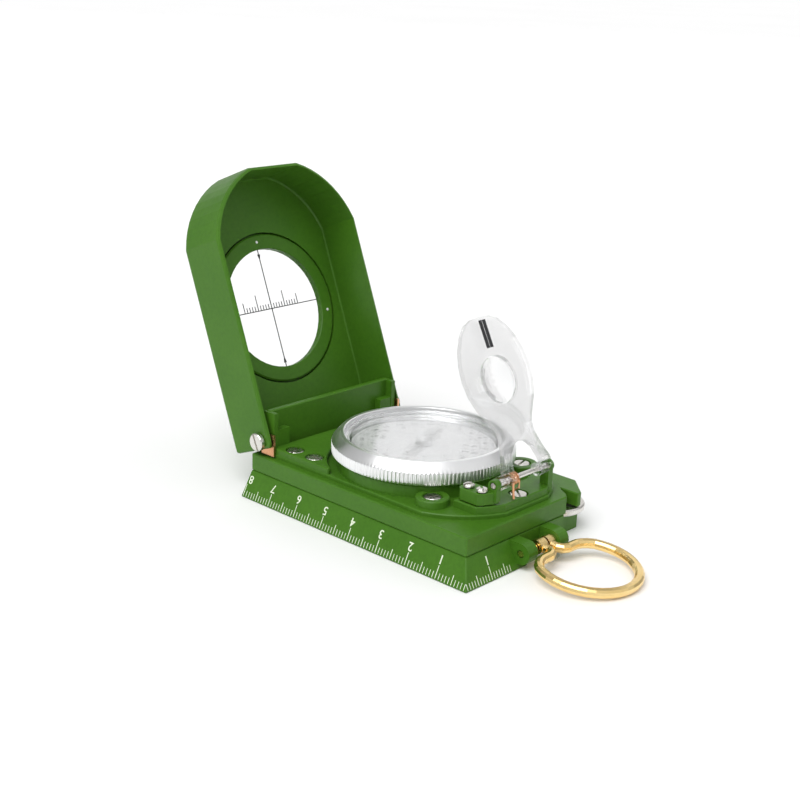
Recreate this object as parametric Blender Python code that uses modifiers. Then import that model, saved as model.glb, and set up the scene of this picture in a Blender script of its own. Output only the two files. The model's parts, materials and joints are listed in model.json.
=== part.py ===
"""Sighting compass: folding cover, hair-line window, magnifier and map-measuring wheel.

Frame: metres, +Z up, +Y is the line of sight from the eye end to the cover hinge.
The origin lies on the underside, directly below the needle's pivot.
Lengths below are in millimetres and are scaled by MM where they meet Blender.
"""
import bpy
import bmesh
from math import acos, asin, atan2, cos, degrees, hypot, pi, radians, sin, tan
from mathutils import Matrix, Vector

MM = 0.001
GAP = 0.3            # clearance between touching pieces

# Ruler body
HALF_WIDTH = 29.0    # underside, bevelled ruler edges included
EYE_END = -40.85     # underside edge at the eye end
HINGE_END = 39.95    # underside edge at the hinge end
BEVEL_IN = 3.4       # how far the ruler bevels lean inwards
PARTING_Z = 7.0      # joint between ruler base and deck housing
LEDGE_Z = 11.9       # ledge that the cover's rim lands on
TOP_HALF = HALF_WIDTH - BEVEL_IN
TOP_EYE = EYE_END + BEVEL_IN
TOP_HINGE = HINGE_END - 0.55      # this end stands almost upright

# Deck
DECK_HALF = 23.5
DECK_Z = 13.0
REAR_PAD_Z = 14.6
FRONT_PAD_Z = 15.0
DECK_FRONT = -35.4
DECK_R = 25.3
BOSS_Z = 15.0
BOSS_AT = (17.6, -19.2)
BOSS_R = 4.3
SEAT_R = 22.7
SEAT_Z = 16.1
WELL_R = 20.9
WELL_FLOOR = 8.6

# Cover and its hinge
COVER_OPEN = 112.0               # degrees from closed to the rest pose
HINGE_Y = 36.2
HINGE_Z = 16.0
HINGE_BARREL_R = 2.5
COVER_HALF = 25.6
COVER_WALL = 0.9
RIM_Z = LEDGE_Z + 0.25           # rim plane with the cover closed
COVER_TOP = 27.35                # outer face with the cover closed
PANEL = 1.4                      # thickness of the cover's face
COVER_TIP = -36.6                # flat tip with the cover closed
COVER_ARC_Y = -11.5              # centre of the cover's round end
COVER_ARC_R = 26.6
COVER_TAIL = 2.35                # how far the walls run past the hinge axis
WINDOW_Y = 1.4                   # window centre with the cover closed
COLLAR_R = 21.3
WINDOW_R = 17.1

# Bezel, capsule and card
BEZEL_R = 24.5
BEZEL_LOW = 16.6
LIP_Z = 22.4
CAPSULE_R = 20.5
CARD_Z = 18.6
CARD_R = 19.1
CARD_TURN = -69.0                # the card's north mark, in degrees from +Y

# Magnifier
PIN_Y = -32.9
PIN_Z = 20.0
PIN_R = 0.7
LEAF_TILT = 62.5                 # degrees above horizontal at rest
LEAF_LIFT = 2.28                 # leaf's middle plane above the pin axis
LEAF_T = 1.4
LEAF_LENGTH = 40.5
LENS_AT = 24.3
LENS_R = 5.9

# Lanyard
EARS_X = (-7.7, 4.7)
EAR_T = 3.6
EAR_R = 2.75
EAR_PIN_Y = -41.2
EAR_PIN_Z = 4.2
LANYARD_PIN_R = 0.8
EYE_R = 1.9
RING_X = -0.3                    # middle of the ring
RING_WIRE = 1.3
RING_R = 12.6
RING_CENTRE = 13.6               # pin axis to the centre of the ring's round part
RING_DROP = 6.0                  # degrees below level at rest

# Map-measuring wheel and its gears
MODULE = 0.5
WHEEL_AT = (19.0, -29.9)
WHEEL_R = 7.8
WHEEL_Z = (5.5, 7.3)
SLOT_Z = (5.2, 7.7)
WHEEL_TEETH = 12
IDLER_TEETH = 24
DIAL_TEETH = 30
IDLER_TOWARDS = (-8.4, 3.2)
DIAL_TOWARDS = (-13.2, 2.8)
GEAR_Z = (2.6, 4.7)
GEAR_POCKET_Z = 5.1
COVER_PLATE_Z = 1.2

for old in list(bpy.data.objects):
    bpy.data.objects.remove(old, do_unlink=True)

compass = bpy.data.collections.new("sighting_compass")
cutters = bpy.data.collections.new("cutters")
for group in (compass, cutters):
    bpy.context.scene.collection.children.link(group)


def material(name, colour, roughness, metallic=0.0, transmission=0.0):
    made = bpy.data.materials.new(name)
    made.use_nodes = True
    shader = made.node_tree.nodes["Principled BSDF"]
    shader.inputs["Base Color"].default_value = (*colour, 1.0)
    shader.inputs["Roughness"].default_value = roughness
    shader.inputs["Metallic"].default_value = metallic
    shader.inputs["Transmission Weight"].default_value = transmission
    made.diffuse_color = (*colour, 1.0)
    return made


GREEN = material("green_plastic", (0.075, 0.22, 0.028), 0.38)
DARK = material("dark_plastic", (0.02, 0.022, 0.02), 0.5)
ALUMINIUM = material("satin_aluminium", (0.78, 0.79, 0.8), 0.3, 1.0)
NICKEL = material("nickel_plate", (0.66, 0.65, 0.62), 0.28, 1.0)
BRASS = material("polished_brass", (0.8, 0.56, 0.2), 0.2, 1.0)
COPPER = material("copper_alloy", (0.72, 0.38, 0.2), 0.32, 1.0)
STEEL = material("needle_steel", (0.45, 0.46, 0.48), 0.3, 1.0)
CLEAR = material("clear_acrylic", (0.95, 0.96, 0.96), 0.05, 0.0, 0.9)
GLASS = material("window_glass", (0.94, 0.96, 0.95), 0.03, 0.0, 0.9)
CARD = material("silver_card", (0.7, 0.71, 0.71), 0.45)


def mm(*values):
    return Vector(values) * MM


def add(name, mesh, look=None, cutter=False):
    """Link a mesh as a named part, or as a cutter that only shapes other parts."""
    obj = bpy.data.objects.new(name, mesh)
    (cutters if cutter else compass).objects.link(obj)
    if cutter:
        obj.hide_render = True
        obj.display_type = "WIRE"
    elif look:
        mesh.materials.append(look)
    return obj


def box(name, low, high, look=None, cutter=False):
    form = bmesh.new()
    bmesh.ops.create_cube(form, size=1.0)
    low, high = mm(*low), mm(*high)
    bmesh.ops.scale(form, vec=high - low, verts=form.verts)
    bmesh.ops.translate(form, vec=(high + low) / 2, verts=form.verts)
    mesh = bpy.data.meshes.new(name)
    form.to_mesh(mesh)
    form.free()
    return add(name, mesh, look, cutter)


def rod(name, start, end, radius, look=None, cutter=False, sides=24, end_radius=None):
    """Cylinder or cone between two points."""
    start, end = mm(*start), mm(*end)
    form = bmesh.new()
    bmesh.ops.create_cone(form, cap_ends=True, segments=sides, radius1=radius * MM,
                          radius2=(radius if end_radius is None else end_radius) * MM,
                          depth=(end - start).length)
    turn = (end - start).to_track_quat("Z", "Y").to_matrix().to_4x4()
    bmesh.ops.transform(form, matrix=Matrix.Translation((start + end) / 2) @ turn, verts=form.verts)
    mesh = bpy.data.meshes.new(name)
    form.to_mesh(mesh)
    form.free()
    return add(name, mesh, look, cutter)


def mesh_from_curve(name, curve, look, cutter):
    """Make a curve's solid a mesh, so that it can be cut and joined."""
    holder = bpy.data.objects.new(name + "_curve", curve)
    compass.objects.link(holder)
    bpy.context.view_layer.update()
    mesh = bpy.data.meshes.new_from_object(holder.evaluated_get(bpy.context.evaluated_depsgraph_get()))
    bpy.data.objects.remove(holder, do_unlink=True)
    mesh.materials.clear()
    form = bmesh.new()
    form.from_mesh(mesh)
    bmesh.ops.remove_doubles(form, verts=form.verts, dist=1e-7)
    bmesh.ops.recalc_face_normals(form, faces=form.faces)
    form.to_mesh(mesh)
    form.free()
    mesh.name = name
    return add(name, mesh, look, cutter)


def plate(name, outline, low, high, look=None, cutter=False):
    """Flat solid with the given outline between two heights."""
    curve = bpy.data.curves.new(name, "CURVE")
    curve.dimensions = "2D"
    curve.fill_mode = "BOTH"
    curve.extrude = (high - low) / 2 * MM
    spline = curve.splines.new("POLY")
    spline.points.add(len(outline) - 1)
    for point, (x, y) in zip(spline.points, outline):
        point.co = (x * MM, y * MM, 0.0, 1.0)
    spline.use_cyclic_u = True
    obj = mesh_from_curve(name, curve, look, cutter)
    obj.data.transform(Matrix.Translation(mm(0, 0, (low + high) / 2)))
    return obj


def wire(name, points, radius, look, cyclic=False, sides=2):
    """Round wire along points, as a polyline curve with filled ends."""
    curve = bpy.data.curves.new(name, "CURVE")
    curve.dimensions = "3D"
    curve.bevel_depth = radius * MM
    curve.bevel_resolution = sides
    curve.use_fill_caps = True
    spline = curve.splines.new("POLY")
    spline.points.add(len(points) - 1)
    for point, place in zip(spline.points, points):
        point.co = (*mm(*place), 1.0)
    spline.use_cyclic_u = cyclic
    return mesh_from_curve(name, curve, look, False)


def turned(name, profile, look=None, steps=48, cutter=False, closed=False):
    """Solid of revolution about Z; the profile runs down its outer side."""
    mesh = bpy.data.meshes.new(name)
    count = len(profile)
    edges = [(i, i + 1) for i in range(count - 1)] + ([(count - 1, 0)] if closed else [])
    mesh.from_pydata([mm(r, 0, z) for r, z in profile], edges, [])
    obj = add(name, mesh, look, cutter)
    spin = obj.modifiers.new("turn", "SCREW")
    spin.steps = steps
    spin.render_steps = steps
    spin.use_merge_vertices = True
    spin.merge_threshold = 1e-6
    return obj


def settle(obj):
    """Replace an object's modifiers by their result."""
    bpy.context.view_layer.update()
    mesh = bpy.data.meshes.new_from_object(obj.evaluated_get(bpy.context.evaluated_depsgraph_get()))
    obj.modifiers.clear()
    obj.data = mesh
    return obj


def place(obj, move=(0, 0, 0), turn=0.0, axis="X"):
    """Turn a mesh about the origin, in degrees, and then move it."""
    settle(obj)
    obj.data.transform(Matrix.Translation(mm(*move)) @ Matrix.Rotation(radians(turn), 4, axis))
    return obj


def shape(obj, tool, operation="DIFFERENCE"):
    """Boolean with the exact solver."""
    step = obj.modifiers.new(operation.lower(), "BOOLEAN")
    step.operation = operation
    step.object = tool
    step.solver = "EXACT"
    return obj


def soften(obj, width, segments=1, angle=35):
    """Small bevel on the sharp edges."""
    edge = obj.modifiers.new("edges", "BEVEL")
    edge.width = width * MM
    edge.segments = segments
    edge.limit_method = "ANGLE"
    edge.angle_limit = radians(angle)
    return obj


def smooth(obj, angle=35):
    settle(obj)
    obj.data.shade_smooth()
    obj.data.set_sharp_from_angle(angle=radians(angle))
    return obj


def arc(centre_x, centre_y, radius, start, end, count):
    """Points along an arc, angles in degrees."""
    turn = [radians(start + (end - start) * i / (count - 1)) for i in range(count)]
    return [(centre_x + radius * cos(a), centre_y + radius * sin(a)) for a in turn]


def slotted_screw(name, at, head_top, head_r, head_h, shank_r, tip_z, look, slot_turn=0.0, steps=14):
    """Cheese-head screw that stands upright with a driver slot."""
    low = head_top - head_h
    screw = turned(name, [(0, head_top), (head_r - 0.25, head_top), (head_r, head_top - 0.25),
                          (head_r, low), (shank_r, low), (shank_r, tip_z), (0, tip_z)], look, steps)
    place(screw, (at[0], at[1], 0))
    slot = box(name + "_slot", (-head_r - 1, -0.32, -0.55), (head_r + 1, 0.32, 1.0), cutter=True)
    place(slot, (at[0], at[1], head_top), slot_turn, "Z")
    shape(screw, slot)
    return smooth(screw)


# ---------------------------------------------------------------- gear train
def gear(name, teeth, thickness, bore, phase, look=BRASS):
    """Spur gear about Z with involute flanks, at the origin; phase in radians."""
    pitch = MODULE * teeth / 2
    base = pitch * cos(radians(20))
    tip = pitch + MODULE * 0.85
    root = pitch - MODULE * 1.15
    half_tooth = pi / (2 * teeth) - 0.07 / pitch          # backlash taken off each flank
    involute = tan(radians(20)) - radians(20)
    outline = []
    for tooth in range(teeth):
        middle = 2 * pi * tooth / teeth + phase
        flank = []
        for step in range(3):
            r = max(base, root) + (tip - max(base, root)) * step / 2
            press = acos(min(1.0, base / r))
            flank.append((r, half_tooth + involute - (tan(press) - press)))
        outline.append((root, -(flank[0][1] + 0.02), middle))
        outline.extend((r, -a, middle) for r, a in flank)
        outline.extend((r, a, middle) for r, a in reversed(flank))
        outline.append((root, flank[0][1] + 0.02, middle))
    points = [(r * cos(m + a), r * sin(m + a)) for r, a, m in outline]
    body = plate(name, points, thickness[0], thickness[1], look)
    hole = rod(name + "_bore", (0, 0, thickness[0] - 1), (0, 0, thickness[1] + 1), bore, cutter=True,
               sides=14)
    return settle(shape(body, hole))


def unit(vector):
    length = hypot(*vector)
    return (vector[0] / length, vector[1] / length)


idler_way = unit(IDLER_TOWARDS)
dial_way = unit(DIAL_TOWARDS)
idler_gap = MODULE * (WHEEL_TEETH + IDLER_TEETH) / 2
dial_gap = MODULE * (IDLER_TEETH + DIAL_TEETH) / 2
IDLER_AT = (WHEEL_AT[0] + idler_way[0] * idler_gap, WHEEL_AT[1] + idler_way[1] * idler_gap)
DIAL_AT = (IDLER_AT[0] + dial_way[0] * dial_gap, IDLER_AT[1] + dial_way[1] * dial_gap)
wheel_to_idler = atan2(idler_way[1], idler_way[0])
idler_to_dial = atan2(dial_way[1], dial_way[0])

# A tooth of the wheel's pinion points at the idler, whose gap faces it; the idler's own
# phase then decides where the dial gear's gap has to stand.
wheel_phase = wheel_to_idler
idler_phase = wheel_to_idler + pi + pi / IDLER_TEETH
offset_at_dial = (idler_to_dial - idler_phase) % (2 * pi / IDLER_TEETH)
dial_phase = idler_to_dial + pi + offset_at_dial * IDLER_TEETH / DIAL_TEETH + pi / DIAL_TEETH

pinion = gear("wheel_pinion", WHEEL_TEETH, GEAR_Z, 1.35, wheel_phase)
place(pinion, (*WHEEL_AT, 0))
idler = gear("idler_gear", IDLER_TEETH, GEAR_Z, 1.0, idler_phase)
place(idler, (*IDLER_AT, 0))
dial_gear = gear("dial_gear", DIAL_TEETH, GEAR_Z, 1.0, dial_phase)
place(dial_gear, (*DIAL_AT, 0))

wheel = turned("map_wheel", [(2.2, WHEEL_Z[1]), (WHEEL_R - 0.35, WHEEL_Z[1]), (WHEEL_R, WHEEL_Z[1] - 0.4),
                             (WHEEL_R, WHEEL_Z[0] + 0.4), (WHEEL_R - 0.35, WHEEL_Z[0]), (2.2, WHEEL_Z[0])],
               NICKEL, 48, closed=True)
place(wheel, (*WHEEL_AT, 0))
smooth(wheel)
hub = turned("wheel_hub", [(1.35, 7.3), (1.95, 7.3), (1.95, 4.95), (1.35, 4.95)], BRASS, 20, closed=True)
place(hub, (*WHEEL_AT, 0))
smooth(hub)
axle = rod("wheel_axle", (*WHEEL_AT, 1.5), (*WHEEL_AT, 9.2), 1.0, STEEL, sides=20)
smooth(axle)
idler_stud = rod("idler_stud", (*IDLER_AT, 1.6), (*IDLER_AT, 6.2), 0.7, STEEL, sides=16)
smooth(idler_stud)
arbor = rod("dial_arbor", (*DIAL_AT, 1.2), (*DIAL_AT, 6.2), 0.7, STEEL, sides=16)
smooth(arbor)

dial = turned("odometer_dial", [(1.2, 2.3), (8.9, 2.3), (8.9, 1.9), (1.2, 1.9)], CARD, 48, closed=True)
place(dial, (*DIAL_AT, 0))
smooth(dial)
pointer = plate("odometer_pointer", [(-2.6, -0.55), (-1.0, -0.8), (0, -1.3), (1.0, -0.8), (7.4, -0.15),
                                     (7.4, 0.15), (1.0, 0.8), (0, 1.3), (-1.0, 0.8), (-2.6, 0.55)],
                1.3, 1.6, DARK)
place(pointer, (*DIAL_AT, 0), -50, "Z")
pointer_eye = rod("pointer_eye", (*DIAL_AT, 0.5), (*DIAL_AT, 2.0), 0.95, cutter=True, sides=16)
shape(pointer, pointer_eye)
settle(pointer)
window = rod("odometer_window", (*DIAL_AT, 0.1), (*DIAL_AT, 0.9), 8.3, CLEAR, sides=48)
smooth(window)


# ---------------------------------------------------------------- ruler base
def tapered_body():
    """Lower body: bevelled ruler edges on all four sides."""
    form = bmesh.new()
    bmesh.ops.create_cube(form, size=1.0)
    for vert in form.verts:
        top = vert.co.z > 0
        half = TOP_HALF if top else HALF_WIDTH
        eye, hinge = (TOP_EYE, TOP_HINGE) if top else (EYE_END, HINGE_END)
        vert.co = mm(half if vert.co.x > 0 else -half, hinge if vert.co.y > 0 else eye,
                     PARTING_Z - 0.05 if top else 0.0)
    mesh = bpy.data.meshes.new("ruler_base")
    form.to_mesh(mesh)
    form.free()
    return add("ruler_base", mesh, GREEN)


PLATE_OUTLINE = [(-22.5, -33.5), (20.3, -33.5), (22.5, -31.3), (22.5, 33.0), (-22.5, 33.0)]
PLATE_SCREWS = [(-19.8, -30.4), (20.0, -12.5), (-12.0, 30.2), (12.0, 30.2)]
DECK_SCREWS = [(-20.2, 27.9, REAR_PAD_Z), (20.2, 27.9, REAR_PAD_Z), (-20.0, 20.6, REAR_PAD_Z),
               (20.0, 20.6, REAR_PAD_Z), (-BOSS_AT[0], BOSS_AT[1], BOSS_Z), (*BOSS_AT, BOSS_Z),
               (0.0, -32.2, FRONT_PAD_Z)]
CLAMP_SCREWS = [(-13.0, -26.9), (-13.0, -31.0)]
CLAMP_TOP = 18.4


def grow(outline, distance):
    """Push a rectangle-like outline's points out from the centre along x and y."""
    return [(x + (distance if x > 0 else -distance), y + (distance if y > 0 else -distance))
            for x, y in outline]


base = tapered_body()
soften(base, 0.25)
settle(base)
ear_outline = [(-36.8, -2.75), *arc(EAR_PIN_Y, 0.0, EAR_R, -90, -270, 11), (-36.8, 2.7)]
for number, ear_x in enumerate(EARS_X):
    ear = plate("ear_%d" % number, ear_outline, -EAR_T / 2, EAR_T / 2, cutter=True)
    ear.data.transform(Matrix(((0, 0, 1, 0), (1, 0, 0, 0), (0, 1, 0, 0), (0, 0, 0, 1))))
    ear.data.transform(Matrix.Translation(mm(ear_x, 0, EAR_PIN_Z)))
    shape(base, ear, "UNION")
base_cuts = [
    plate("eye_end_step", [(-7.2, -50), (12.9, -50), (12.9, TOP_EYE), (-7.2, TOP_EYE)], -1, 8, cutter=True),
    plate("wheel_corner", [(12.8, -50), (12.8, TOP_EYE), (14.6, -34.8), (22.6, -34.8), (29.5, -27.9),
                           (40, -27.9), (40, -50)], -1, 8, cutter=True),
]
settle(base)
for number, ear_x in enumerate(EARS_X):
    keep = box("ear_keep_%d" % number, (ear_x - EAR_T / 2 - 0.01, -48, -2),
               (ear_x + EAR_T / 2 + 0.01, TOP_EYE + 1, 9), cutter=True)
    shape(base_cuts[0], keep)
settle(base_cuts[0])
for tool in base_cuts:
    shape(base, tool)
settle(base)
slot_cut = rod("wheel_slot_low", (*WHEEL_AT, SLOT_Z[0]), (*WHEEL_AT, 9), WHEEL_R + 0.5, cutter=True, sides=48)
rebate = plate("plate_rebate", grow(PLATE_OUTLINE, GAP), -1, COVER_PLATE_Z + GAP, cutter=True)
rear_pocket = box("rear_pocket", (-15, -8, 0.5), (15, 28, 5.8), cutter=True)
pockets = [rod("pinion_pocket", (*WHEEL_AT, 0.5), (*WHEEL_AT, GEAR_POCKET_Z), 3.9, cutter=True),
           rod("idler_pocket", (*IDLER_AT, 0.5), (*IDLER_AT, GEAR_POCKET_Z), 6.9, cutter=True, sides=32),
           rod("dial_pocket", (*DIAL_AT, 0.5), (*DIAL_AT, GEAR_POCKET_Z), 9.3, cutter=True, sides=40),
           rod("hub_hole", (*WHEEL_AT, 4), (*WHEEL_AT, 6), 2.3, cutter=True),
           rod("idler_seat", (*IDLER_AT, 4), (*IDLER_AT, 6.5), 1.0, cutter=True, sides=16),
           rod("arbor_seat", (*DIAL_AT, 4), (*DIAL_AT, 6.5), 1.0, cutter=True, sides=16)]
ear_bore = rod("ear_bore", (-20, EAR_PIN_Y, EAR_PIN_Z), (20, EAR_PIN_Y, EAR_PIN_Z), LANYARD_PIN_R + 0.25,
               cutter=True, sides=16)
for tool in (slot_cut, rebate, rear_pocket, *pockets, ear_bore):
    shape(base, tool)
for number, (x, y, top) in enumerate(DECK_SCREWS):
    shape(base, rod("deck_screw_seat_%d" % number, (x, y, 5.6), (x, y, 9), 1.25, cutter=True, sides=12))
for number, (x, y) in enumerate(PLATE_SCREWS):
    shape(base, rod("plate_screw_seat_%d" % number, (x, y, 0.5), (x, y, 5.0), 1.15, cutter=True, sides=12))
settle(base)

bottom = plate("bottom_plate", PLATE_OUTLINE, 0.0, COVER_PLATE_Z, DARK)
soften(bottom, 0.15)
settle(bottom)
shape(bottom, rod("window_hole", (*DIAL_AT, -1), (*DIAL_AT, 3), 8.6, cutter=True, sides=48))
for number, (x, y) in enumerate(PLATE_SCREWS):
    shape(bottom, rod("plate_screw_sink_%d" % number, (x, y, -0.1), (x, y, 3), 2.2, cutter=True, sides=20))
settle(bottom)
for number, (x, y) in enumerate(PLATE_SCREWS):
    name = "bottom_screw_%d" % (number + 1)
    screw = slotted_screw(name, (0, 0), 1.9, 1.9, 0.9, 0.85, -2.6, NICKEL, 30 * number)
    place(screw, (x, y, 2.0), 180, "X")


# ---------------------------------------------------------------- deck housing
def deck_outline(inset=0.0, rear=34.0):
    """Deck plan: straight sides and a round eye end with a flat facet."""
    half, radius = DECK_HALF - inset, DECK_R - inset
    facet = degrees(acos((COVER_ARC_Y - DECK_FRONT - inset) / radius))
    shoulder = degrees(asin(half / radius))
    right = arc(0, COVER_ARC_Y, radius, -90 + facet, -90 + shoulder, 9)
    left = [(-x, y) for x, y in reversed(right)]
    return [(-half, rear), *left, *right, (half, rear)]


def add_to(body, pieces, edge=0.0):
    """Join pieces to a body, with their edges softened first."""
    for piece in pieces:
        if edge:
            soften(piece, edge)
        settle(piece)
        shape(body, piece, "UNION")
    return settle(body)


HOUSING_OUTLINE = [(-TOP_HALF, TOP_EYE), (13.6, TOP_EYE), (15.4, -35.7),
                   *arc(0, COVER_ARC_Y, 27.35, -51.5, -20.6, 7),
                   (TOP_HALF, TOP_HINGE), (-TOP_HALF, TOP_HINGE)]
FRONT_PAD = [(-15.4, -24.0), (-15.4, -31.2), (-12.6, -33.1), (-8.4, -34.9), (8.4, -34.9), (13.4, -32.4),
             (16.4, -29.2), (15.6, -25.0), (9.0, -27.4), (-9.0, -27.4)]
WHEEL_GUARD = [(12, -28), (18.1, -31), (18.1, -37.6), (19.6, -37.6), (TOP_HALF - 0.05, -31.4),
               (TOP_HALF - 0.05, -19), (12, -19)]

housing = plate("deck_housing", HOUSING_OUTLINE, PARTING_Z, LEDGE_Z, GREEN)
soften(housing, 0.3)
settle(housing)
rear_pad = box("rear_pad", (-DECK_HALF + 0.1, 12.0, 9.6), (DECK_HALF - 0.1, 33.4, REAR_PAD_Z), cutter=True)
shape(rear_pad, rod("rear_pad_round", (0, 0, 0), (0, 0, 30), 25.4, cutter=True, sides=48))
settle(rear_pad)
add_to(housing, [
    plate("deck_tier", deck_outline(), 9.0, DECK_Z, cutter=True),
    plate("front_pad", FRONT_PAD, 10.0, FRONT_PAD_Z, cutter=True),
    rear_pad,
    rod("boss_left", (-BOSS_AT[0], BOSS_AT[1], 9.5), (-BOSS_AT[0], BOSS_AT[1], BOSS_Z), BOSS_R,
        cutter=True, sides=32),
    rod("boss_right", (*BOSS_AT, 9.5), (*BOSS_AT, BOSS_Z), BOSS_R, cutter=True, sides=32),
    plate("wheel_guard", WHEEL_GUARD, SLOT_Z[1], 11.5, cutter=True),
    rod("bezel_seat", (0, 0, 9.2), (0, 0, SEAT_Z), SEAT_R, cutter=True, sides=48),
    box("hinge_wall", (-22.8, 35.2, 8.0), (22.8, 36.9, 24.2), cutter=True),
], 0.25)
add_to(housing, [piece for side in (-1, 1) for piece in (
    box("wing_%+d" % side, (side * 21.9, 32.8, 8.4), (side * 23.3, 37.0, 24.0), cutter=True),
    box("step_%+d" % side, (side * 17.6, 33.0, 8.8), (side * 22.6, 35.8, 19.2), cutter=True),
    rod("barrel_%+d" % side, (side * 17.8, HINGE_Y, HINGE_Z), (side * 23.4, HINGE_Y, HINGE_Z),
        HINGE_BARREL_R, cutter=True, sides=24))])
add_to(housing, [
    box("pin_ear", (9.5, -34.1, 12.0), (11.3, -31.5, PIN_Z - 0.4), cutter=True),
    rod("pin_ear_round", (9.52, PIN_Y, PIN_Z), (11.28, PIN_Y, PIN_Z), 1.5, cutter=True, sides=20)])
for tool in (
        rod("capsule_well", (0, 0, WELL_FLOOR), (0, 0, 30), WELL_R, cutter=True, sides=48),
        rod("wheel_slot_high", (*WHEEL_AT, 6.5), (*WHEEL_AT, SLOT_Z[1]), WHEEL_R + 0.5, cutter=True,
            sides=48),
        rod("wheel_axle_seat", (*WHEEL_AT, 6.5), (*WHEEL_AT, 9.5), 1.3, cutter=True, sides=16),
        rod("hinge_bore", (-30, HINGE_Y, HINGE_Z), (-18.6, HINGE_Y, HINGE_Z), 1.2, cutter=True, sides=16),
        rod("hinge_bore_right", (30, HINGE_Y, HINGE_Z), (18.6, HINGE_Y, HINGE_Z), 1.2, cutter=True, sides=16),
        rod("pin_bore", (5, PIN_Y, PIN_Z), (15, PIN_Y, PIN_Z), PIN_R + 0.25, cutter=True, sides=16)):
    shape(housing, tool)
for number, (x, y, top) in enumerate(DECK_SCREWS):
    shape(housing, rod("deck_bore_%d" % number, (x, y, 6), (x, y, 20), 1.25, cutter=True, sides=10))
    shape(housing, rod("deck_sink_%d" % number, (x, y, top - 1.4), (x, y, top + 3), 2.6, cutter=True,
                       sides=18))
for number, (x, y) in enumerate(CLAMP_SCREWS):
    shape(housing, rod("clamp_bore_%d" % number, (x, y, 10), (x, y, 20), 1.2, cutter=True, sides=12))
settle(housing)
for number, (x, y, top) in enumerate(DECK_SCREWS):
    slotted_screw("deck_screw_%d" % (number + 1), (x, y), top - 0.1, 2.3, 1.0, 0.9, 6.2, NICKEL,
                  35 * number + 20)


# ---------------------------------------------------------------- cover and its hinge
def closed_cover_outline(inset, tail):
    """Cover plan when closed; the round end has a flat tip."""
    half, radius, tip = COVER_HALF - inset, COVER_ARC_R - inset, COVER_TIP + inset
    facet = degrees(acos((COVER_ARC_Y - tip) / radius))
    shoulder = degrees(asin(half / radius))
    right = arc(0, COVER_ARC_Y, radius, -90 + facet, -90 + shoulder, 10)
    left = [(-x, y) for x, y in reversed(right)]
    return [(-half, tail), *left, *right, (half, tail)]


def open_cover(obj):
    """Swing a closed cover part about the hinge axis to the rest pose."""
    settle(obj)
    swing = Matrix.Rotation(radians(-COVER_OPEN), 4, "X")
    axis = Matrix.Translation(mm(0, HINGE_Y, HINGE_Z))
    obj.data.transform(axis @ swing @ axis.inverted())
    return obj


cover = plate("cover_shell", closed_cover_outline(0, HINGE_Y + COVER_TAIL), RIM_Z, COVER_TOP, GREEN)
soften(cover, 0.8, 2, 60)
settle(cover)
inner = plate("cover_inside", closed_cover_outline(COVER_WALL, HINGE_Y + 20), RIM_Z - 10, COVER_TOP - PANEL,
              cutter=True)
soften(inner, 0.4, 1, 60)
settle(inner)
shape(cover, inner)
tail_cut = box("tail_cut", (-40, HINGE_Y, RIM_Z - 2), (40, HINGE_Y + 12, HINGE_Z), cutter=True)
tail_keep = rod("tail_keep", (-50, HINGE_Y, HINGE_Z), (50, HINGE_Y, HINGE_Z), HINGE_Z - RIM_Z, cutter=True,
                sides=48)
shape(tail_cut, tail_keep)
settle(tail_cut)
shape(cover, tail_cut)
shape(cover, rod("window_opening", (0, WINDOW_Y, 10), (0, WINDOW_Y, 40), COLLAR_R + 0.5, cutter=True,
                 sides=48))
shape(cover, rod("cover_hinge_bore", (-40, HINGE_Y, HINGE_Z), (40, HINGE_Y, HINGE_Z), 1.2, cutter=True,
                 sides=16))
settle(cover)
open_cover(cover)

COLLAR_PROFILE = [(18.5, 28.9), (22.3, 28.9), (22.8, 28.5), (22.8, 27.65), (COLLAR_R, 27.65),
                  (COLLAR_R, 26.1), (COLLAR_R - 0.4, 25.75), (WINDOW_R + 0.2, 25.75),
                  (WINDOW_R, 25.95), (WINDOW_R, 27.6),
                  (18.5, 27.6)]
ring = turned("window_ring", COLLAR_PROFILE, GREEN, 48, closed=True)
place(ring, (0, WINDOW_Y, 0))
open_cover(smooth(ring))
pane = turned("window_glass", [(0, 28.6), (18.2, 28.6), (18.2, 27.9), (0, 27.9)], GLASS, 48)
place(pane, (0, WINDOW_Y, 0))
open_cover(smooth(pane))

for side, label in ((-1, "left"), (1, "right")):
    screw = slotted_screw("hinge_screw_" + label, (0, 0), 27.1, 2.5, 1.2, 0.9, 19.0, NICKEL, 25, 20)
    place(screw, (0, 0, 0), side * 90, "Y")
    place(screw, (0, HINGE_Y, HINGE_Z))
    leaf = plate("hinge_bush_" + label, [(-4.3, -3.6), (0.4, -3.6), *arc(0, 0, 2.4, -60, 90, 9), (-4.3, 2.4)],
                 23.75, 24.35, COPPER)
    shape(leaf, rod("bush_bore_" + label, (0, 0, 20), (0, 0, 30), 1.2, cutter=True, sides=16))
    settle(leaf)
    leaf.data.transform(Matrix(((0, 0, side, 0), (1, 0, 0, 0), (0, 1, 0, 0), (0, 0, 0, 1))))
    if side < 0:
        leaf.data.flip_normals()
    place(leaf, (0, HINGE_Y, HINGE_Z))

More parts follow.
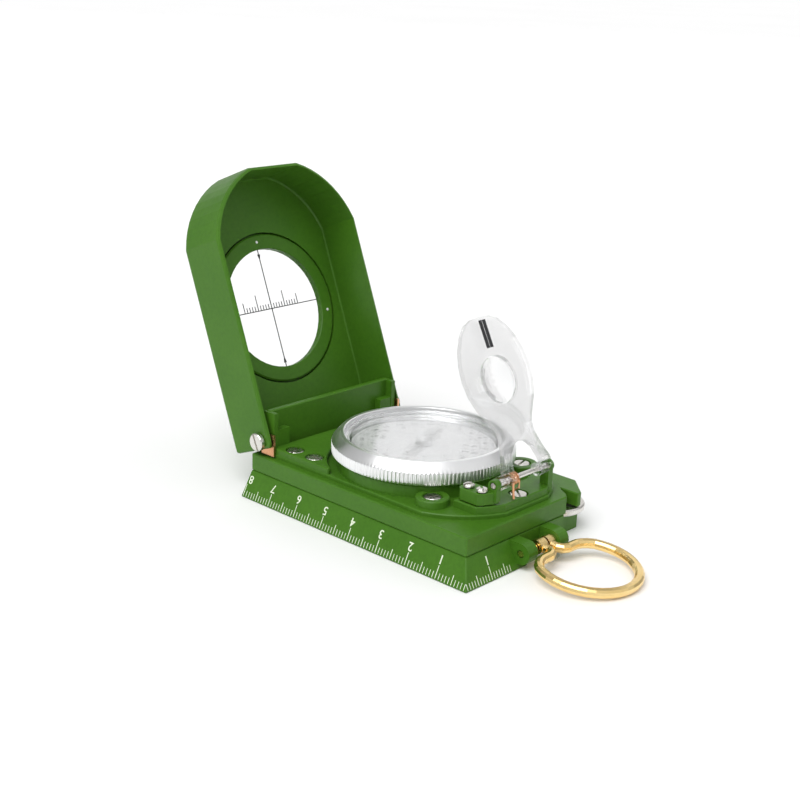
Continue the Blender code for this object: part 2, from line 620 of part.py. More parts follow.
# ---------------------------------------------------------------- compass capsule
bezel = turned("bezel_ring", [(BEZEL_R - 0.5, 20.3), (BEZEL_R - 0.1, 20.0), (BEZEL_R - 0.1, 17.1),
                              (BEZEL_R - 0.6, BEZEL_LOW), (20.3, BEZEL_LOW), (19.6, 17.4), (19.6, 20.1),
                              (20.9, 20.1), (20.9, 22.0), (21.3, LIP_Z), (21.9, LIP_Z)],
               ALUMINIUM, 48, closed=True)
smooth(bezel)
glass = turned("bezel_glass", [(0, 21.6), (20.2, 21.6), (20.6, 21.3), (20.6, 20.4), (0, 20.4)], CLEAR, 48)
smooth(glass)
capsule = turned("compass_capsule", [(1.0, 10.2), (18.9, 10.2), (18.9, 16.2), (CAPSULE_R, 16.2),
                                     (CAPSULE_R, 8.9), (1.0, 8.9)], DARK, 48, closed=True)
smooth(capsule)
pivot = turned("pivot_pin", [(0, 18.7), (0.15, 18.55), (0.35, 17.2), (0.7, 15.2), (0.7, 9.0), (0, 9.0)],
               STEEL, 16)
smooth(pivot)
card = turned("compass_card", [(1.8, CARD_Z + 0.4), (CARD_R, CARD_Z + 0.4), (CARD_R, CARD_Z), (1.8, CARD_Z)],
              CARD, 48, closed=True)
smooth(card)
cap = turned("jewel_cap", [(0, 20.05), (0.9, 19.95), (1.6, 19.7), (2.4, 19.3), (1.5, 19.3), (1.5, 17.1),
                           (0.9, 17.1), (0.65, 18.6), (0, 19.1)], ALUMINIUM, 16)
smooth(cap)
magnet = box("card_magnet", (-1.9, -11.5, 17.3), (1.9, 11.5, 18.3), STEEL)
place(magnet, (0, 0, 0), CARD_TURN, "Z")
shape(magnet, rod("magnet_bore", (0, 0, 16), (0, 0, 20), 1.8 - 0.02, cutter=True, sides=24))
settle(magnet)

# ---------------------------------------------------------------- magnifier
block = plate("clamp_block", [(-15.0, -31.1), (-13.6, -32.4), (-11.4, -33.4), (-9.7, -33.9), (-9.7, -25.6),
                              (-10.6, -24.7), (-14.0, -24.7), (-15.0, -25.7)],
              FRONT_PAD_Z + GAP, CLAMP_TOP, GREEN)
soften(block, 0.25)
settle(block)
add_to(block, [box("lug", (-11.3, -34.2, 16.0), (-9.72, -31.4, PIN_Z), cutter=True),
               rod("lug_round", (-11.28, PIN_Y, PIN_Z), (-9.74, PIN_Y, PIN_Z), 1.5, cutter=True, sides=20)])
shape(block, rod("lug_bore", (-15, PIN_Y, PIN_Z), (-5, PIN_Y, PIN_Z), PIN_R + 0.25, cutter=True, sides=16))
for number, (x, y) in enumerate(CLAMP_SCREWS):
    shape(block, rod("clamp_hole_%d" % number, (x, y, 14), (x, y, 22), 1.2, cutter=True, sides=12))
settle(block)
for number, (x, y) in enumerate(CLAMP_SCREWS):
    slotted_screw("clamp_screw_%d" % (number + 1), (x, y), CLAMP_TOP + 1.0, 1.45, 0.7, 0.85, 10.5, NICKEL,
                  70 * number - 20)

LEAF_SIDE = [(9.1, -0.9), (9.0, 2.5), (7.4, 6.0), (6.3, 9.5), (6.4, 12.0), (8.2, 15.0), (10.5, 18.3),
             (11.9, 22.0), (12.4, 26.0), (11.9, 30.0), (10.6, 33.5), (8.7, 36.6), (6.0, 39.2), (3.0, 40.3),
             (0.0, LEAF_LENGTH)]
ARCH_SIDE = [(0.0, 8.6), (2.4, 8.0), (4.2, 6.2), (5.3, 3.2), (5.7, -0.9)]


def magnifier_frame(obj):
    """Stand a magnifier part up: leaf plane coordinates to the rest pose."""
    settle(obj)
    lean = Matrix.Rotation(radians(LEAF_TILT), 4, "X")
    obj.data.transform(Matrix.Translation(mm(0, PIN_Y, PIN_Z)) @ lean)
    return obj


right_leaf = LEAF_SIDE[:-1]
outline = [*right_leaf, LEAF_SIDE[-1], *[(-x, y) for x, y in reversed(right_leaf)],
           *[(-x, y) for x, y in reversed(ARCH_SIDE)], *ARCH_SIDE[1:]]
leaf = plate("magnifier_leaf", outline, LEAF_LIFT - LEAF_T / 2, LEAF_LIFT + LEAF_T / 2, CLEAR)
add_to(leaf, [piece for side in (-1, 1) for piece in (
    rod("foot_%+d" % side, (side * 5.72, 0, 0), (side * 9.08, 0, 0), 1.75, cutter=True, sides=24),
    box("web_%+d" % side, (side * 5.74, -0.88, 0.2), (side * 9.06, 1.4, LEAF_LIFT), cutter=True))])
shape(leaf, rod("leaf_bore", (-15, 0, 0), (15, 0, 0), PIN_R + 0.3, cutter=True, sides=16))
shape(leaf, rod("lens_seat", (0, LENS_AT, -2), (0, LENS_AT, 8), LENS_R + 0.3, cutter=True, sides=40))
magnifier_frame(leaf)
lens_curve = [(LENS_R * i / 4, 1.15 - 0.85 * (i / 4) ** 2) for i in range(5)]
lens = turned("magnifier_lens", [*lens_curve, *[(r, -z) for r, z in reversed(lens_curve)]], GLASS, 32)
place(lens, (0, LENS_AT, LEAF_LIFT))
magnifier_frame(smooth(lens, 60))
pin = rod("magnifier_pin", (-11.2, PIN_Y, PIN_Z), (11.2, PIN_Y, PIN_Z), PIN_R, NICKEL, sides=20)
smooth(pin)
COIL = [(-5.2 + 2.8 * i / 48, 1.4, 2 * pi * 4 * i / 48 - pi / 2) for i in range(49)]
spring_path = [(COIL[0][0], PIN_Y - 1.9, 15.6), (COIL[0][0], PIN_Y - 1.7, 17.0)]
spring_path += [(x, PIN_Y - r * cos(a + pi / 2), PIN_Z + r * sin(a + pi / 2)) for x, r, a in COIL]
spring_path += [(COIL[-1][0], PIN_Y - 1.1, 17.6), (COIL[-1][0], PIN_Y + 1.0, 15.7)]
wire("magnifier_spring", spring_path, 0.3, COPPER, sides=1)

# ---------------------------------------------------------------- lanyard ring
half_ring = [(1.5, 1.0), (1.5, 3.1), (2.3, 4.3), (3.7, 4.9), (5.4, 4.9), (7.0, 5.0), (8.5, 5.5), (9.9, 6.4),
             *arc(0, RING_CENTRE, RING_R, -28, 90, 14)]
loop = [*half_ring, *[(-x, y) for x, y in reversed(half_ring[:-1])]]
ring_points = [(RING_X + x, EAR_PIN_Y - out * cos(radians(RING_DROP)),
                EAR_PIN_Z - out * sin(radians(RING_DROP))) for x, out in loop]
ring = wire("lanyard_ring", ring_points, RING_WIRE, BRASS, sides=4)
add_to(ring, [rod("ring_eye_%+d" % side, (RING_X + side * 0.3, EAR_PIN_Y, EAR_PIN_Z),
                  (RING_X + side * 3.0, EAR_PIN_Y, EAR_PIN_Z), EYE_R, cutter=True, sides=20)
              for side in (-1, 1)])
shape(ring, rod("ring_eye_bore", (-9, EAR_PIN_Y, EAR_PIN_Z), (9, EAR_PIN_Y, EAR_PIN_Z), LANYARD_PIN_R + 0.25,
                cutter=True, sides=16))
settle(ring)
lanyard_pin = rod("lanyard_pin", (EARS_X[0] - 1.6, EAR_PIN_Y, EAR_PIN_Z),
                  (EARS_X[1] + 1.6, EAR_PIN_Y, EAR_PIN_Z), LANYARD_PIN_R, BRASS, sides=16)
smooth(lanyard_pin)

for obj in compass.objects:
    if obj.name in ("ruler_base", "bottom_plate", "deck_housing", "cover_shell", "clamp_block",
                    "magnifier_leaf", "lanyard_ring", "magnifier_spring"):
        smooth(obj)

# ---------------------------------------------------------------- joint axes
# Every moving piece hangs from an empty that stands on its joint's axis.
JOINTS = {
    "cover_hinge": ((0, HINGE_Y, HINGE_Z), ("cover_shell", "window_ring", "window_glass")),
    "magnifier_hinge": ((0, PIN_Y, PIN_Z), ("magnifier_leaf", "magnifier_lens")),
    "bezel_turn": ((0, 0, BEZEL_LOW), ("bezel_ring", "bezel_glass")),
    "card_swing": ((0, 0, CARD_Z), ("compass_card", "card_magnet", "jewel_cap")),
    "lanyard_swing": ((0, EAR_PIN_Y, EAR_PIN_Z), ("lanyard_ring",)),
    "wheel_spin": ((*WHEEL_AT, 6.4), ("map_wheel", "wheel_hub", "wheel_axle", "wheel_pinion")),
    "idler_turn": ((*IDLER_AT, 3.6), ("idler_gear",)),
    "hand_turn": ((*DIAL_AT, 3.6), ("dial_gear", "dial_arbor", "odometer_pointer")),
}
for joint, (spot, moving) in JOINTS.items():
    axis = bpy.data.objects.new(joint, None)
    axis.location = mm(*spot)
    axis.empty_display_size = 5 * MM
    compass.objects.link(axis)
    for name in moving:
        moved = bpy.data.objects[name]
        moved.data.transform(Matrix.Translation(-mm(*spot)))
        moved.parent = axis
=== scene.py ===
"""Looks of the sighting compass: printed scales, knurling, hair line, materials, light and camera.

The row frame is in metres. Lengths on the object are written in millimetres and scaled by MM.
The floor, the lamps and the camera are placed in metres.
"""

import json
from math import atan2, cos, pi, radians, sin

import bmesh
import bpy
from mathutils import Matrix, Vector


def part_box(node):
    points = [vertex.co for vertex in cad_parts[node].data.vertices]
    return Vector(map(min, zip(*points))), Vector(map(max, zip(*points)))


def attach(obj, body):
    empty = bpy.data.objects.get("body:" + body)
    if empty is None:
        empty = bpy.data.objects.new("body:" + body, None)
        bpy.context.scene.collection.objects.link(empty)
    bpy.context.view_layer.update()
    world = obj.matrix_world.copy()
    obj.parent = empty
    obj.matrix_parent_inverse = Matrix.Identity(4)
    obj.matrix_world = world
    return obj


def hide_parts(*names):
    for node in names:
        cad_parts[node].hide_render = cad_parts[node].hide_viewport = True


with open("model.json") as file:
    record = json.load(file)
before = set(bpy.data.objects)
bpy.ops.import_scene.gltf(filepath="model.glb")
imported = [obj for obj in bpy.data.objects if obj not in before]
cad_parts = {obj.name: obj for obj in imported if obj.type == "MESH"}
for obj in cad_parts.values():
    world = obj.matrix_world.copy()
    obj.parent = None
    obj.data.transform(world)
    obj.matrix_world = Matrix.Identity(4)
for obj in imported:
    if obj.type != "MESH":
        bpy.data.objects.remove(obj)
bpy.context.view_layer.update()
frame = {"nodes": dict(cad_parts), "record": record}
nodes = frame["nodes"]

MM = 0.001
INCH = 25.4
SUNK = 0.02
SIDE_X = 29.0
EYE_END_Y = -40.85
HINGE_END_Y = 39.95
HINGE = Vector((0, 36.2, 16.0)) * MM
PIN = Vector((0, -32.9, 20.0)) * MM
COVER_OPEN = 112.0
LEAF_TILT = 62.5
WINDOW_Y = 1.4
LEAF_LIFT = 2.28
BEVEL_IN = 3.4
BEVEL_UP = 6.95


# ------------------------------------------------------------------ materials
def new_material(name):
    made = bpy.data.materials.new(name)
    made.use_nodes = True
    return made, made.node_tree, made.node_tree.nodes["Principled BSDF"]


def noise(tree, scale, detail=3.0, rough=0.55):
    where = tree.nodes.new("ShaderNodeTexCoord")
    made = tree.nodes.new("ShaderNodeTexNoise")
    made.inputs["Scale"].default_value = scale
    made.inputs["Detail"].default_value = detail
    made.inputs["Roughness"].default_value = rough
    tree.links.new(where.outputs["Object"], made.inputs["Vector"])
    return made.outputs["Fac"]


def ramp(tree, source, stops):
    made = tree.nodes.new("ShaderNodeValToRGB")
    bar = made.color_ramp
    while len(bar.elements) < len(stops):
        bar.elements.new(0.5)
    for element, (place, colour) in zip(bar.elements, stops):
        element.position = place
        element.color = (*colour, 1.0)
    tree.links.new(source, made.inputs["Fac"])
    return made.outputs["Color"]


def spread(tree, source, low, high):
    """The middle half of a noise stretched between two values."""
    made = tree.nodes.new("ShaderNodeMapRange")
    made.inputs["From Min"].default_value = 0.25
    made.inputs["From Max"].default_value = 0.75
    made.inputs["To Min"].default_value = low
    made.inputs["To Max"].default_value = high
    tree.links.new(source, made.inputs["Value"])
    return made.outputs["Result"]


def bump(tree, source, strength, distance):
    made = tree.nodes.new("ShaderNodeBump")
    made.inputs["Strength"].default_value = strength
    made.inputs["Distance"].default_value = distance
    tree.links.new(source, made.inputs["Height"])
    return made.outputs["Normal"]


def worn_plastic(name, dark, middle, light, rough, speck):
    """Moulded plastic: mottled colour, fine speckle, uneven gloss and faint orange peel."""
    made, tree, shader = new_material(name)
    broad = noise(tree, 55.0, 3.0)
    fine = noise(tree, 900.0, 4.0, 0.65)
    base = ramp(tree, broad, [(0.25, dark), (0.5, middle), (0.8, light)])
    specks = ramp(tree, fine, [(0.3, (speck, speck, speck)), (0.55, (1.0, 1.0, 1.0)),
                               (0.8, (1.06, 1.06, 1.06))])
    mix = tree.nodes.new("ShaderNodeMix")
    mix.data_type = "RGBA"
    mix.blend_type = "MULTIPLY"
    mix.inputs["Factor"].default_value = 1.0
    tree.links.new(base, mix.inputs["A"])
    tree.links.new(specks, mix.inputs["B"])
    tree.links.new(mix.outputs["Result"], shader.inputs["Base Color"])
    tree.links.new(spread(tree, noise(tree, 210.0, 5.0, 0.7), rough - 0.07, rough + 0.1),
                   shader.inputs["Roughness"])
    tree.links.new(bump(tree, noise(tree, 1400.0, 3.0), 0.16, 0.00008), shader.inputs["Normal"])
    shader.inputs["Specular IOR Level"].default_value = 0.24
    return made


def worn_metal(name, dark, light, rough, grain, strength=0.12, uneven=0.09):
    """Metal: patchy tone, uneven polish and a fine grain."""
    made, tree, shader = new_material(name)
    tone = ramp(tree, noise(tree, 160.0, 4.0), [(0.25, dark), (0.75, light)])
    tree.links.new(tone, shader.inputs["Base Color"])
    shader.inputs["Metallic"].default_value = 1.0
    tree.links.new(spread(tree, noise(tree, 600.0, 4.0, 0.6), rough - uneven / 2, rough + uneven),
                   shader.inputs["Roughness"])
    tree.links.new(bump(tree, noise(tree, grain, 2.0), strength, 0.00002), shader.inputs["Normal"])
    return made


def clear_solid(name, tint, rough, ior, ripple, alpha):
    """Clear plastic or glass, faintly wavy; alpha below 1 shows more of what lies behind it."""
    made, tree, shader = new_material(name)
    pale = tuple(0.6 + 0.4 * channel for channel in tint)
    haze = ramp(tree, noise(tree, 120.0, 3.0), [(0.3, tint), (0.7, pale)])
    tree.links.new(haze, shader.inputs["Base Color"])
    shader.inputs["Transmission Weight"].default_value = 1.0
    shader.inputs["IOR"].default_value = ior
    shader.inputs["Alpha"].default_value = alpha
    tree.links.new(spread(tree, noise(tree, 380.0, 4.0), rough * 0.4, rough),
                   shader.inputs["Roughness"])
    tree.links.new(bump(tree, noise(tree, 70.0, 2.0), ripple, 0.0001), shader.inputs["Normal"])
    return made


def ink(name, dark, light):
    """Printed paint with slight gaps and uneven cover."""
    made, tree, shader = new_material(name)
    tree.links.new(ramp(tree, noise(tree, 1500.0, 4.0), [(0.3, dark), (0.6, light)]),
                   shader.inputs["Base Color"])
    tree.links.new(spread(tree, noise(tree, 700.0, 3.0), 0.42, 0.62), shader.inputs["Roughness"])
    tree.links.new(bump(tree, noise(tree, 2500.0, 2.0), 0.2, 0.00003), shader.inputs["Normal"])
    return made


GREEN = worn_plastic("green_plastic", (0.05, 0.155, 0.01), (0.058, 0.17, 0.012),
                     (0.066, 0.185, 0.015), 0.36, 0.88)
DARK = worn_plastic("dark_plastic", (0.012, 0.014, 0.012), (0.02, 0.022, 0.019),
                    (0.03, 0.032, 0.028), 0.46, 0.8)
ALUMINIUM = worn_metal("satin_aluminium", (0.9, 0.905, 0.91), (0.96, 0.965, 0.97), 0.3, 900.0,
                       0.02, 0.04)
NICKEL = worn_metal("nickel_plate", (0.62, 0.6, 0.56), (0.8, 0.78, 0.74), 0.26, 1200.0)
BRASS = worn_metal("polished_brass", (0.9, 0.64, 0.25), (0.97, 0.74, 0.35), 0.22, 500.0, 0.04, 0.05)
COPPER = worn_metal("copper_alloy", (0.62, 0.3, 0.16), (0.86, 0.48, 0.27), 0.28, 900.0)
STEEL = worn_metal("needle_steel", (0.36, 0.37, 0.39), (0.52, 0.53, 0.55), 0.28, 1100.0)
ACRYLIC = clear_solid("clear_acrylic", (0.965, 0.967, 0.975), 0.01, 1.38, 0.01, 0.4)
GLASS = clear_solid("window_glass", (0.97, 0.975, 0.98), 0.01, 1.3, 0.02, 0.7)
CARD = worn_plastic("silver_card", (0.8, 0.805, 0.81), (0.84, 0.845, 0.85),
                    (0.88, 0.885, 0.89), 0.35, 0.97)
WHITE_INK = ink("scale_ink", (0.62, 0.72, 0.5), (0.86, 0.92, 0.76))
BLACK_INK = ink("black_ink", (0.008, 0.008, 0.009), (0.03, 0.03, 0.033))
GREY_INK = ink("grey_ink", (0.05, 0.052, 0.055), (0.12, 0.123, 0.126))
PALE_INK = ink("pale_ink", (0.82, 0.84, 0.84), (0.95, 0.96, 0.96))
ARROW_INK = ink("arrow_ink", (0.52, 0.525, 0.53), (0.6, 0.605, 0.61))

LOOKS = {"green_plastic": GREEN, "dark_plastic": DARK, "satin_aluminium": ALUMINIUM,
         "nickel_plate": NICKEL, "polished_brass": BRASS, "copper_alloy": COPPER,
         "needle_steel": STEEL, "clear_acrylic": ACRYLIC, "window_glass": GLASS,
         "silver_card": CARD}
for sub in frame["record"]["subparts"]:
    part = nodes[sub["node"]]
    part.data.materials.clear()
    part.data.materials.append(LOOKS[sub["material_slot"]])
    for polygon in part.data.polygons:
        polygon.material_index = 0


# ------------------------------------------------------------------ geometry helpers
def piece(name, form, look, body):
    """Object made from a bmesh, which it uses up; it moves with the body."""
    mesh = bpy.data.meshes.new(name)
    form.to_mesh(mesh)
    form.free()
    mesh.materials.append(look)
    obj = bpy.data.objects.new(name, mesh)
    bpy.context.scene.collection.objects.link(obj)
    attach(obj, body)
    return obj


def bar(form, matrix, low, high):
    """Box between two corners in millimetres, placed by a matrix."""
    low, high = Vector(low) * MM, Vector(high) * MM
    made = bmesh.ops.create_cube(form, size=1.0)["verts"]
    size = high - low
    move = Matrix.Translation((low + high) / 2) @ Matrix.Diagonal((*size, 1.0))
    bmesh.ops.transform(form, matrix=matrix @ move, verts=made)


def numeral(text, size, matrix, thick, bold):
    """Raised numeral, centred on the matrix's origin, as a mesh."""
    curve = bpy.data.curves.new("numeral", "FONT")
    curve.body = text
    curve.size = size * MM
    curve.align_x = "CENTER"
    curve.align_y = "CENTER"
    curve.extrude = thick * MM
    curve.offset = bold * MM
    curve.resolution_u = 3
    holder = bpy.data.objects.new("numeral_text", curve)
    bpy.context.scene.collection.objects.link(holder)
    bpy.context.view_layer.update()
    solved = holder.evaluated_get(bpy.context.evaluated_depsgraph_get())
    mesh = bpy.data.meshes.new_from_object(solved)
    bpy.data.objects.remove(holder, do_unlink=True)
    mesh.transform(matrix)
    return mesh


def printed(name, forms, texts, look, body):
    """One piece from a bmesh of bars and a list of numeral meshes."""
    for mesh in texts:
        forms.from_mesh(mesh)
        bpy.data.meshes.remove(mesh)
    return piece(name, forms, look, body)


# ------------------------------------------------------------------ ruler edges
MARK_FOOT = 0.4
WHOLE_MARK, HALF_MARK, SMALL_MARK = 3.3, 2.5, 1.6
RULER_RAISED = 0.035
NUMERAL_UP = 5.3
LAST_NUMERAL = 79.0


def slope_matrix(start, along, inward):
    """Frame on a bevelled face: x along the edge, y up the slope, z outwards."""
    x = Vector(along).normalized()
    y = (Vector(inward).normalized() * BEVEL_IN + Vector((0, 0, BEVEL_UP))).normalized()
    made = Matrix.Identity(4)
    for column, axis in enumerate((x, y, x.cross(y))):
        for row in range(3):
            made[row][column] = axis[row]
    made.translation = Vector(start) * MM
    return made


def ruler(name, start, along, inward, way, marks, unit, per, numerals):
    """Scale with marks every unit / per, longer at the half and the whole unit.

    way is +1 or -1 along the face's x. The last numeral stays on the face.
    """
    edge = slope_matrix(start, along, inward)
    form = bmesh.new()
    texts = []
    for count in range(1, marks + 1):
        place = way * count * unit / per
        whole = count % per == 0
        half = count % (per // 2) == 0
        length = WHOLE_MARK if whole else (HALF_MARK if half else SMALL_MARK)
        half_width = 0.1 if whole or half else 0.08
        bar(form, edge, (place - half_width, MARK_FOOT, -SUNK),
            (place + half_width, MARK_FOOT + length, RULER_RAISED))
    for number in range(1, numerals + 1):
        spot = Vector((way * min(number * unit, LAST_NUMERAL), NUMERAL_UP, 0)) * MM
        turn = edge @ Matrix.Translation(spot) @ Matrix.Rotation(pi, 4, "Z")
        texts.append(numeral(str(number), 3.2, turn, RULER_RAISED, 0.02))
    return printed(name, form, texts, WHITE_INK, "body")


ruler("ruler_scale_long", (-SIDE_X, EYE_END_Y, 0), (0, -1, 0), (1, 0, 0), -1, 80, 10.0, 10, 8)
ruler("ruler_scale_short", (-SIDE_X, EYE_END_Y, 0), (1, 0, 0), (0, 1, 0), 1, 17, 10.0, 10, 1)
ruler("ruler_scale_inches", (SIDE_X, HINGE_END_Y, 0), (0, 1, 0), (-1, 0, 0), -1, 42, INCH, 16, 2)


# ------------------------------------------------------------------ cover window
HAIR_REACH = 17.6
HAIR_LOW, HAIR_HIGH = 27.84, 27.92
HEAD_SUNK = 0.03
DOT_ANGLES = (-94, 11)
DOT_RING = 19.2
DOT_Z = 25.74
DOT_SIZE = 0.42
DOT_FLATNESS = 0.35


def in_cover():
    """Closed-cover coordinates to the rest pose."""
    opened = Matrix.Rotation(radians(-COVER_OPEN), 4, "X")
    return Matrix.Translation(HINGE) @ opened @ Matrix.Translation(-HINGE)


def strip(form, matrix, start, end, width, low, high):
    """Thin flat bar from start to end in a plane."""
    run = Vector((end[0] - start[0], end[1] - start[1]))
    place = Matrix.Translation(Vector((start[0], start[1], 0)) * MM)
    turn = Matrix.Rotation(atan2(run.y, run.x), 4, "Z")
    bar(form, matrix @ (place @ turn), (0, -width / 2, low), (run.length, width / 2, high))


def wedge(form, matrix, corners, low, high):
    """Flat polygon with a thickness."""
    lower = [form.verts.new(matrix @ (Vector((x, y, low)) * MM)) for x, y in corners]
    upper = [form.verts.new(matrix @ (Vector((x, y, high)) * MM)) for x, y in corners]
    form.faces.new(lower)
    form.faces.new(upper)
    for k in range(len(corners)):
        n = (k + 1) % len(corners)
        form.faces.new((lower[k], lower[n], upper[n], upper[k]))
    bmesh.ops.recalc_face_normals(form, faces=form.faces)


pane = in_cover() @ Matrix.Translation(Vector((0, WINDOW_Y, 0)) * MM)
hair = bmesh.new()
strip(hair, pane, (0, -HAIR_REACH), (0, HAIR_REACH), 0.3, HAIR_LOW, HAIR_HIGH)
strip(hair, pane, (-HAIR_REACH, 0), (HAIR_REACH, 0), 0.26, HAIR_LOW, HAIR_HIGH)
for way in (-1, 1):
    head = [(0, way * 14.0), (-0.55, way * 16.0), (0, way * 15.6), (0.55, way * 16.0)]
    wedge(hair, pane, head, HAIR_LOW - HEAD_SUNK, HAIR_HIGH)
for count in range(-10, 11):
    height = 4.6 if abs(count) == 5 else (3.0 if abs(count) == 10 else 1.5)
    if count:
        strip(hair, pane, (count, 0), (count, -height), 0.24, HAIR_LOW, HAIR_HIGH)
piece("window_hair_lines", hair, BLACK_INK, "cover")
for number, angle in enumerate(DOT_ANGLES):
    dot = bmesh.new()
    place = Vector((DOT_RING * cos(radians(angle)), DOT_RING * sin(radians(angle)), DOT_Z)) * MM
    flat = Matrix.Diagonal((1, 1, DOT_FLATNESS, 1))
    bmesh.ops.create_icosphere(dot, subdivisions=2, radius=DOT_SIZE * MM,
                               matrix=(pane @ Matrix.Translation(place)) @ flat)
    piece("collar_dot_%d" % (number + 1), dot, PALE_INK, "cover")


# ------------------------------------------------------------------ bezel
def knurled_bezel():
    """Turned ring with a band of upright ribs below a smooth chamfer.

    The profile's points are radius, height and the share of the rib's depth that is cut there.
    """
    ribs = 144
    depth = (0.0, 0.0, 0.16, 0.42, 0.42, 0.16)
    per = len(depth)
    profile = [(21.9, 22.4, 0), (22.2, 22.36, 0), (23.6, 20.9, 0), (24.2, 20.15, 0), (24.36, 19.95, 0.3),
               (24.4, 19.8, 1), (24.4, 17.3, 1), (24.3, 17.05, 1), (23.9, 16.7, 0.3), (23.6, 16.6, 0),
               (20.3, 16.6, 0), (19.6, 17.4, 0), (19.6, 20.1, 0), (20.9, 20.1, 0), (20.9, 21.9, 0),
               (21.1, 22.28, 0), (21.3, 22.4, 0)]
    form = bmesh.new()
    columns = []
    for step in range(ribs * per):
        turn = 2 * pi * step / (ribs * per)
        cut = depth[step % per]
        columns.append([form.verts.new(Vector(((r - k * cut) * cos(turn),
                                               (r - k * cut) * sin(turn), z)) * MM)
                        for r, z, k in profile])
    for step, column in enumerate(columns):
        after = columns[(step + 1) % len(columns)]
        for k in range(len(profile)):
            n = (k + 1) % len(profile)
            form.faces.new((column[k], column[n], after[n], after[k]))
    bmesh.ops.recalc_face_normals(form, faces=form.faces)
    return form


rim = piece("knurled_bezel", knurled_bezel(), ALUMINIUM, "bezel")
rim.data.shade_smooth()
rim.data.set_sharp_from_angle(angle=radians(28))
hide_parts("bezel_ring")


# ------------------------------------------------------------------ dial card
NORTH = -69.0
CARD_TOP = 19.0
CARD_RAISED = 0.03
ARROW_RAISED = 0.015
OUTER_RING, INNER_RING = 18.6, 15.0
OUTER_NUMBERS, INNER_NUMBERS, LETTERS = 16.4, 13.6, 11.6
ARROW_OUTLINE = [(-1.6, -9.8), (1.6, -9.8), (1.6, 6.2), (3.0, 6.2), (0, 10.4), (-3.0, 6.2),
                 (-1.6, 6.2)]


def bearing(degrees):
    """Turn of the card's print, clockwise from its north mark."""
    return Matrix.Rotation(radians(NORTH - degrees), 4, "Z")


def card_text(text, degrees, radius, size, bold):
    """Text lying on the card at a bearing, with its top outwards."""
    spot = bearing(degrees) @ Matrix.Translation(Vector((0, radius, CARD_TOP)) * MM)
    return numeral(text, size, spot, CARD_RAISED, bold)


card_print = bmesh.new()
for count in range(120):
    length = 1.0 if count % 5 == 0 else 0.6
    bar(card_print, bearing(3 * count), (-0.07, OUTER_RING - length, CARD_TOP - SUNK),
        (0.07, OUTER_RING, CARD_TOP + CARD_RAISED))
    bar(card_print, bearing(3 * count), (-0.06, INNER_RING - length / 2, CARD_TOP - SUNK),
        (0.06, INNER_RING, CARD_TOP + CARD_RAISED))
card_texts = [card_text(str(15 * n), 360 * n / 24, OUTER_NUMBERS, 1.45, 0.02) for n in range(24)]
card_texts += [card_text(str(4 * n), 360 * n / 16, INNER_NUMBERS, 1.25, 0.02) for n in range(16)]
card_texts += [card_text(letter, 90 * n, LETTERS, 2.2, 0.04) for n, letter in enumerate("NESW")]
printed("card_scale", card_print, card_texts, GREY_INK, "card")
arrow = bmesh.new()
wedge(arrow, bearing(0), ARROW_OUTLINE, CARD_TOP - SUNK, CARD_TOP + ARROW_RAISED)
bmesh.ops.triangulate(arrow, faces=[f for f in arrow.faces if len(f.verts) > 4])
piece("card_arrow", arrow, ARROW_INK, "card")

# ------------------------------------------------------------------ magnifier's sight marks
BAR_X, BAR_HALF_WIDTH = 0.68, 0.6
BAR_START, BAR_END = 32.4, 39.6
BAR_LOW, BAR_HIGH = LEAF_LIFT + 0.68, LEAF_LIFT + 0.73

lean = Matrix.Translation(PIN) @ Matrix.Rotation(radians(LEAF_TILT), 4, "X")
sight = bmesh.new()
for side in (-1, 1):
    bar(sight, lean, (side * BAR_X - BAR_HALF_WIDTH, BAR_START, BAR_LOW),
        (side * BAR_X + BAR_HALF_WIDTH, BAR_END, BAR_HIGH))
piece("magnifier_sight_bars", sight, BLACK_INK, "magnifier")

# ------------------------------------------------------------------ map-wheel dial on the underside
DIAL_RING, DIAL_NUMBERS = 7.9, 5.7
DIAL_RAISED = 0.03

under = bmesh.new()
dial_low, dial_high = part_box("odometer_dial")
middle = (dial_low + dial_high) / 2
face = Matrix.Translation((middle.x, middle.y, dial_low.z)) @ Matrix.Rotation(pi, 4, "X")
for count in range(40):
    turn = face @ Matrix.Rotation(2 * pi * count / 40, 4, "Z")
    length = 1.2 if count % 4 == 0 else 0.7
    bar(under, turn, (-0.06, DIAL_RING - length, -SUNK), (0.06, DIAL_RING, DIAL_RAISED))
dial_texts = []
for count in range(10):
    turn = face @ Matrix.Rotation(-2 * pi * count / 10, 4, "Z")
    spot = turn @ Matrix.Translation(Vector((0, DIAL_NUMBERS, 0)) * MM)
    dial_texts.append(numeral(str(10 * count), 1.2, spot, DIAL_RAISED, 0.02))
printed("odometer_scale", under, dial_texts, BLACK_INK, "body")

# ------------------------------------------------------------------ floor, light and camera
FLOOR_SIZE = 40.0
FLOOR_DROP = 0.0001

floor_mesh = bpy.data.meshes.new("studio_floor")
floor_form = bmesh.new()
bmesh.ops.create_grid(floor_form, x_segments=1, y_segments=1, size=FLOOR_SIZE)
floor_form.to_mesh(floor_mesh)
floor_form.free()
floor_look, floor_tree, floor_shader = new_material("studio_paper")
paper = [(0.3, (0.96, 0.96, 0.96)), (0.7, (0.98, 0.98, 0.98))]
floor_tree.links.new(ramp(floor_tree, noise(floor_tree, 3.0), paper),
                     floor_shader.inputs["Base Color"])
floor_shader.inputs["Roughness"].default_value = 0.9
floor_shader.inputs["Specular IOR Level"].default_value = 0.15
floor_mesh.materials.append(floor_look)
floor = bpy.data.objects.new("studio_floor", floor_mesh)
floor.location.z = -FLOOR_DROP
bpy.context.scene.collection.objects.link(floor)

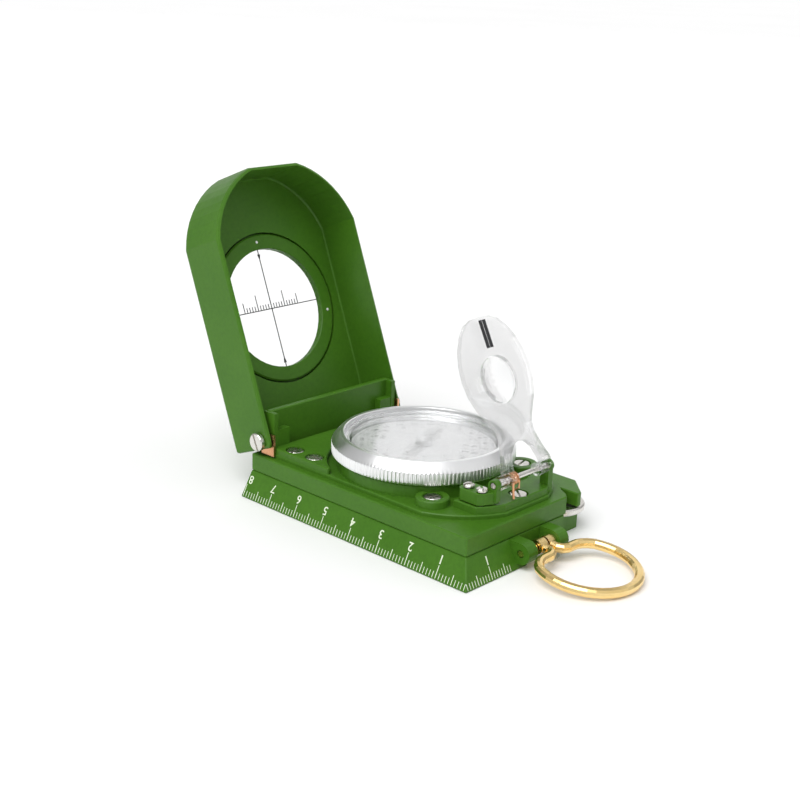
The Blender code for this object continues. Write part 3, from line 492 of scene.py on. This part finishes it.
world = bpy.data.worlds.new("studio")
bpy.context.scene.world = world
world.use_nodes = True
backdrop = world.node_tree.nodes["Background"]
backdrop.inputs["Color"].default_value = (1.0, 1.0, 1.0, 1.0)
backdrop.inputs["Strength"].default_value = 0.43


def sky_lamp(name, towards, spread, strength):
    """Broad light from a direction; spread is its apparent width in degrees."""
    lamp = bpy.data.lights.new(name, "SUN")
    lamp.angle = radians(spread)
    lamp.energy = strength
    obj = bpy.data.objects.new(name, lamp)
    obj.rotation_euler = Vector(towards).to_track_quat("Z", "Y").to_euler()
    bpy.context.scene.collection.objects.link(obj)


sky_lamp("key_light", (-0.55, -0.12, 0.8), 50.0, 2.15)
sky_lamp("fill_light", (0.3, -0.6, 0.7), 60.0, 0.28)
board = bpy.data.lights.new("back_board", "AREA")
board.shape = "RECTANGLE"
board.size = 3.0
board.size_y = 1.6
board.energy = 8.0
board_lamp = bpy.data.objects.new("back_board", board)
board_lamp.location = (1.35, 1.25, 1.25)
board_lamp.rotation_euler = board_lamp.location.to_track_quat("Z", "Y").to_euler()
bpy.context.scene.collection.objects.link(board_lamp)

CAMERA_AT = (-0.25351, -0.22442, 0.14202)
FOCAL_LENGTH, SENSOR_WIDTH = 61.41, 36.0
AZIMUTH, ELEVATION, ROLL = radians(-47.35), radians(18.15), radians(2.127)
ahead = Vector((-sin(AZIMUTH) * cos(ELEVATION), cos(AZIMUTH) * cos(ELEVATION), -sin(ELEVATION)))
right = ahead.cross(Vector((0, 0, 1))).normalized()
up = right.cross(ahead)
right, up = right * cos(ROLL) + up * sin(ROLL), up * cos(ROLL) - right * sin(ROLL)
lens = bpy.data.cameras.new("camera")
lens.sensor_width = SENSOR_WIDTH
lens.lens = FOCAL_LENGTH
lens.clip_start = 0.01
camera = bpy.data.objects.new("camera", lens)
aim = Matrix((right, up, -ahead)).transposed().to_4x4()
camera.matrix_world = Matrix.Translation(CAMERA_AT) @ aim
bpy.context.scene.collection.objects.link(camera)
bpy.context.scene.camera = camera
bpy.context.scene.view_settings.view_transform = "Standard"
